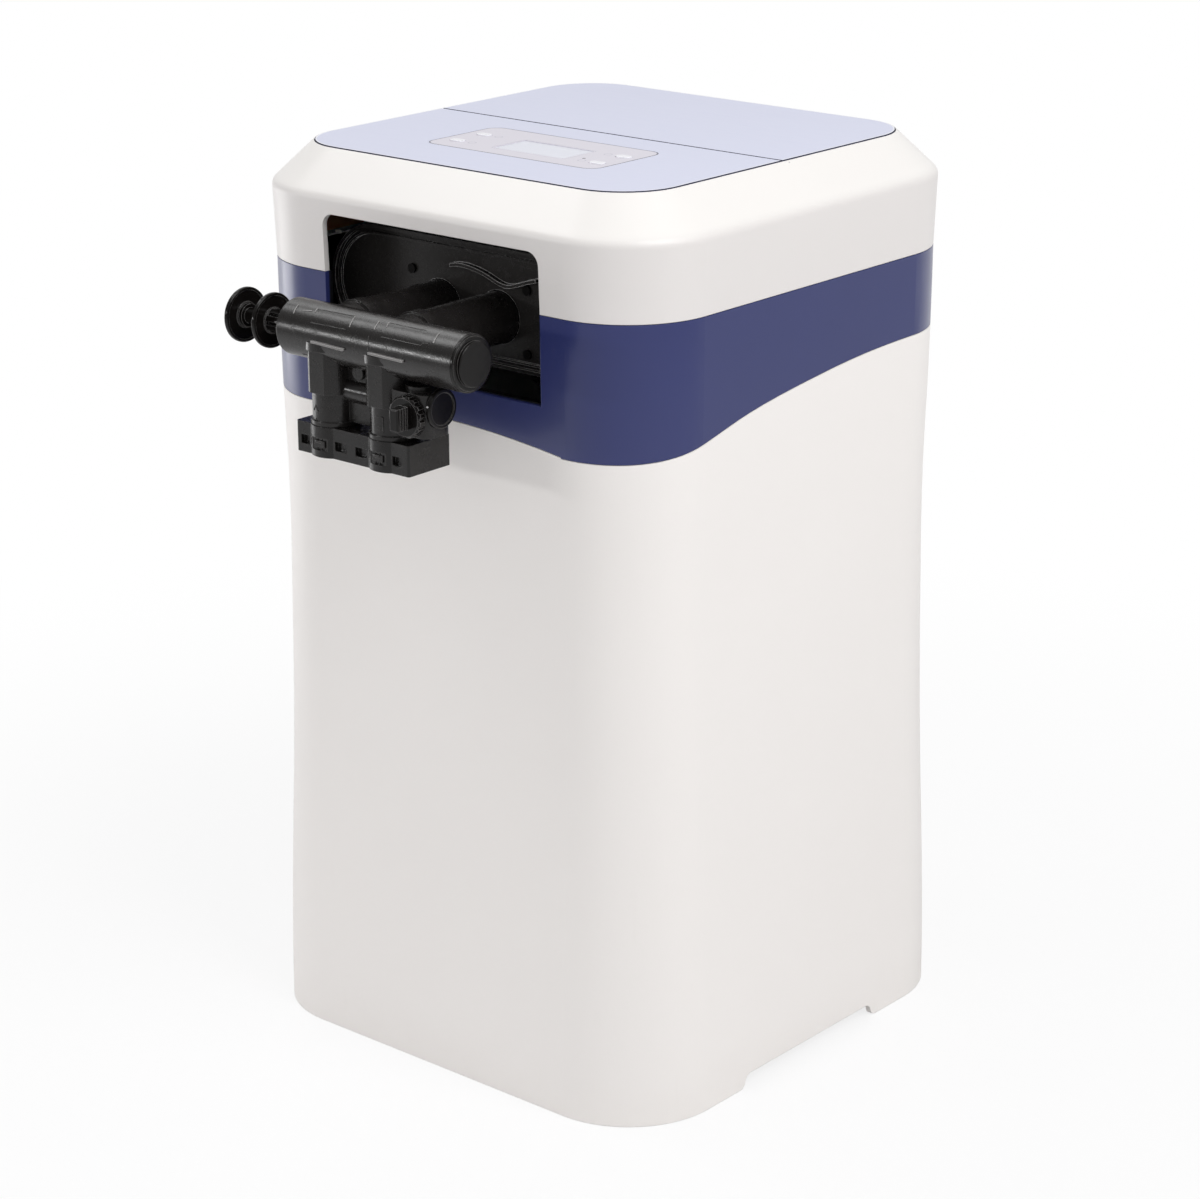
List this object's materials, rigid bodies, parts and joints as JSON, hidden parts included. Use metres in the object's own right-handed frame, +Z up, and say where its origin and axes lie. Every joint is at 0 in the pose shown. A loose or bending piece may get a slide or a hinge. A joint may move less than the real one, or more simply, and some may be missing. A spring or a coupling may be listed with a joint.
{
  "type": "activated carbon water filter",
  "caption": "Square cabinet water filter with a carbon tank and control valve inside, a hinged service lid, a keypad with display, and a bypass valve on the plumbing side.",
  "frame": {"origin": "on the floor at the centre of the round foot under the tank, which is the centre of the cabinet's plan", "axes": "+Z up; the plumbing side with the bypass valve faces -Y; the service lid is on the +Y half of the top; +X is to the right seen from the plumbing side"},
  "size_m": [0.3634, 0.4453, 0.6206],
  "materials": {
    "shell": "satin moulded plastic, warm white",
    "cover": "satin moulded plastic, white",
    "band": "satin moulded plastic, navy blue",
    "panel": "satin pale blue plastic",
    "plate": "pale grey overlay",
    "lens": "clear display window",
    "display": "liquid crystal module",
    "board": "green circuit board",
    "lamp": "dark indicator lens",
    "key": "pale grey keys",
    "black": "black moulded plastic, fine grain",
    "black_gloss": "black plastic, smooth",
    "white_plastic": "white engineering plastic",
    "grey_plastic": "grey engineering plastic",
    "tank": "wound glass fibre shell",
    "rubber": "black rubber",
    "steel": "bright steel",
    "gravel": "washed gravel",
    "carbon": "granular activated carbon"
  },
  "bodies": {
    "cabinet": {"cabinet_body": "shell", "cabinet_band": "band", "top_cover": "cover", "hinge_pins": "steel", "control_fascia": "panel", "control_plate": "plate", "display_lens": "lens", "display_module": "display", "control_board": "board", "board_screws": "steel", "status_lamp": "lamp", "pressure_tank": "tank", "tank_boot": "rubber", "neck_ring": "grey_plastic", "riser_tube": "white_plastic", "lower_distributor": "grey_plastic", "upper_distributor": "grey_plastic", "gravel_bed": "gravel", "carbon_bed": "carbon", "valve_body": "black", "tank_seal": "rubber", "bore_seals": "rubber", "seal_spacers": "white_plastic", "end_plug": "black", "valve_shroud": "black", "shroud_screws": "steel", "gear_housing": "grey_plastic", "gear_cover": "grey_plastic", "drive_screws": "steel", "drive_motor": "steel", "meter_cage": "grey_plastic", "drain_elbow": "black", "drain_nut": "black", "bypass_body": "black", "port_seals": "rubber", "lock_block": "black", "bypass_end_cap": "black_gloss", "end_cap_seal": "rubber", "spool_gland": "black", "mixing_cap": "black_gloss"},
    "service_lid": {"service_lid": "panel"},
    "bypass_spool": {"bypass_spool": "black_gloss", "spool_seals": "rubber"},
    "mixing_knob": {"mixing_knob": "black_gloss"},
    "drive_gear": {"drive_gear": "white_plastic"},
    "valve_piston": {"valve_piston": "grey_plastic", "piston_rod": "steel"},
    "motor_pinion": {"motor_pinion": "white_plastic", "motor_shaft": "steel"},
    "meter_turbine": {"meter_turbine": "white_plastic"},
    "key_left_upper": {"key_left_upper": "key"},
    "key_left_lower": {"key_left_lower": "key"},
    "key_right_upper": {"key_right_upper": "key"},
    "key_right_lower": {"key_right_lower": "key"}
  },
  "joints": [
    {"name": "service_lid_hinge", "type": "hinge", "parent": "cabinet", "child": "service_lid", "pos_m": [0, 0.003, 0.6173], "axis": [1, 0, 0], "range_deg": [0, 100]},
    {"name": "bypass_spool_slide", "type": "slide", "parent": "cabinet", "child": "bypass_spool", "axis": [1, 0, 0], "range_m": [0, 0.019]},
    {"name": "mixing_knob_turn", "type": "hinge", "parent": "cabinet", "child": "mixing_knob", "pos_m": [0.0516, -0.249, 0.4868], "axis": [0, 1, 0], "range_deg": [0, 270]},
    {"name": "drive_gear_turn", "type": "hinge", "parent": "cabinet", "child": "drive_gear", "pos_m": [0, 0.0923, 0.532], "axis": [0, 1, 0], "range_deg": [0, 720]},
    {"name": "valve_piston_slide", "type": "slide", "parent": "cabinet", "child": "valve_piston", "axis": [0, -1, 0], "range_m": [0, 0.024]},
    {"name": "motor_pinion_turn", "type": "hinge", "parent": "cabinet", "child": "motor_pinion", "pos_m": [-0.02771, 0.0923, 0.56746], "axis": [0, 1, 0], "range_deg": [-2881, 1]},
    {"name": "meter_turbine_spin", "type": "hinge", "parent": "cabinet", "child": "meter_turbine", "pos_m": [0.0254, -0.075, 0.524], "axis": [0, 1, 0], "continuous": true},
    {"name": "key_left_upper_press", "type": "slide", "parent": "cabinet", "child": "key_left_upper", "axis": [0, 0, -1], "range_m": [0, 0.0008], "stiffness_N_per_m": 500, "springref_m": -0.0004},
    {"name": "key_left_lower_press", "type": "slide", "parent": "cabinet", "child": "key_left_lower", "axis": [0, 0, -1], "range_m": [0, 0.0008], "stiffness_N_per_m": 500, "springref_m": -0.0004},
    {"name": "key_right_upper_press", "type": "slide", "parent": "cabinet", "child": "key_right_upper", "axis": [0, 0, -1], "range_m": [0, 0.0008], "stiffness_N_per_m": 500, "springref_m": -0.0004},
    {"name": "key_right_lower_press", "type": "slide", "parent": "cabinet", "child": "key_right_lower", "axis": [0, 0, -1], "range_m": [0, 0.0008], "stiffness_N_per_m": 500, "springref_m": -0.0004}
  ],
  "couplings": [
    {"joint": "valve_piston_slide", "follows": "drive_gear_turn", "m_per_rad": 0.0019098},
    {"joint": "motor_pinion_turn", "follows": "drive_gear_turn", "ratio": -4}
  ]
}
